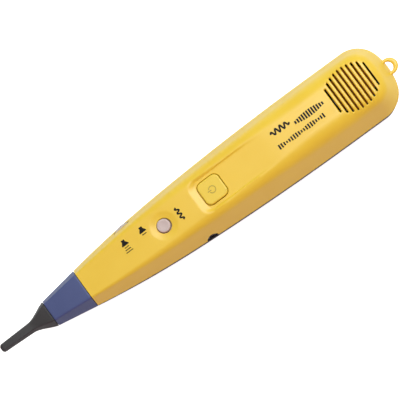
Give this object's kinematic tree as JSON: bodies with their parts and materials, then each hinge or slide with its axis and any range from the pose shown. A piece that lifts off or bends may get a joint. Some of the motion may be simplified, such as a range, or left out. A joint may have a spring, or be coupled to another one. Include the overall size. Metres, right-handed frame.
{
  "type": "tone probe",
  "caption": "Hand-held wand that traces wires by sound: blunt sensing tip, coloured nose collar, push buttons, side volume wheel, headset jack, slotted speaker grille and lanyard loop.",
  "frame": {"origin": "middle of the bounding box, on the plane that the back rests on", "axes": "+X along the length from the sensing tip to the lanyard loop, +Y towards the volume wheel side, +Z out of the front face with the buttons and the grille"},
  "size_m": [0.249, 0.0406, 0.033],
  "materials": {
    "shell_yellow": "fine satin moulded texture",
    "shell_charcoal": "fine satin moulded texture",
    "door_charcoal": "fine satin moulded texture",
    "nose_blue": "satin",
    "tip_black": "satin conductive plastic",
    "power_key_yellow": "satin",
    "filter_key_grey": "soft matte",
    "wheel_grey": "satin",
    "jack_black": "semi-gloss",
    "brass": "bright",
    "screw_steel": "zinc plated",
    "spring_steel": "bright wire",
    "switch_black": "matte",
    "plunger_white": "matte",
    "pot_metal": "nickel plated",
    "board_green": "solder mask",
    "chip_black": "moulded epoxy",
    "part_tan": "ceramic",
    "can_black": "sleeved",
    "coil_copper": "enamelled copper wire",
    "basket_steel": "pressed sheet",
    "magnet_steel": "plated",
    "cone_paper": "paper pulp",
    "gasket_foam": "soft foam",
    "cloth_black": "fine woven dust cloth",
    "retainer_plastic": "matte",
    "battery_jacket": "printed jacket, no lettering",
    "snap_vinyl": "soft vinyl",
    "lead_red": "insulated wire",
    "lead_black": "insulated wire",
    "foam_grey": "open-cell foam"
  },
  "bodies": {
    "root": {"front_shell": "shell_yellow", "back_shell": "shell_charcoal", "nose_collar": "nose_blue", "probe_tip": "tip_black", "headset_jack": "jack_black", "antenna_rod": "brass", "contact_bracket": "brass", "snap_contacts": "brass", "tip_set_screw": "screw_steel", "case_screws": "screw_steel", "board_screws": "screw_steel", "retainer_screws": "screw_steel", "contact_spring": "spring_steel", "power_switch_body": "switch_black", "filter_switch_body": "switch_black", "volume_pot": "pot_metal", "battery_terminals": "pot_metal", "circuit_board": "board_green", "ic_chips": "chip_black", "passives": "part_tan", "capacitors": "can_black", "pickup_coil": "coil_copper", "speaker_basket": "basket_steel", "speaker_magnet": "magnet_steel", "speaker_cone": "cone_paper", "speaker_gasket": "gasket_foam", "grille_cloth": "cloth_black", "speaker_retainer": "retainer_plastic", "battery_case": "battery_jacket", "battery_snap": "snap_vinyl", "battery_lead_red": "lead_red", "speaker_lead_red": "lead_red", "battery_lead_black": "lead_black", "speaker_lead_black": "lead_black", "battery_foam_pad": "foam_grey"},
    "power_key": {"power_button": "power_key_yellow"},
    "power_plunger": {"power_switch_plunger": "plunger_white"},
    "filter_key": {"filter_button": "filter_key_grey"},
    "filter_plunger": {"filter_switch_plunger": "plunger_white"},
    "wheel": {"volume_wheel": "wheel_grey"},
    "door": {"battery_door": "door_charcoal"}
  },
  "joints": [
    {"name": "power_press", "type": "slide", "parent": "root", "child": "power_key", "axis": [0, 0, -1], "range_m": [0, 0.0006], "stiffness_N_per_m": 1000, "springref_m": -0.0005},
    {"name": "power_plunger_slide", "type": "slide", "parent": "root", "child": "power_plunger", "axis": [0, 0, -1], "range_m": [0, 0.0006]},
    {"name": "filter_press", "type": "slide", "parent": "root", "child": "filter_key", "axis": [0, 0, -1], "range_m": [0, 0.0004], "stiffness_N_per_m": 1000, "springref_m": -0.0005},
    {"name": "filter_plunger_slide", "type": "slide", "parent": "root", "child": "filter_plunger", "axis": [0, 0, -1], "range_m": [0, 0.0004]},
    {"name": "volume_turn", "type": "hinge", "parent": "root", "child": "wheel", "pos_m": [-0.038, 0.0069, 0.02], "axis": [0, 0, 1], "range_deg": [-135, 135]},
    {"name": "door_swing", "type": "hinge", "parent": "root", "child": "door", "pos_m": [0.0175, 0, 0.001], "axis": [0, 1, 0], "range_deg": [0, 75]}
  ],
  "couplings": [
    {"joint": "power_plunger_slide", "follows": "power_press", "ratio": 1},
    {"joint": "filter_plunger_slide", "follows": "filter_press", "ratio": 1}
  ]
}
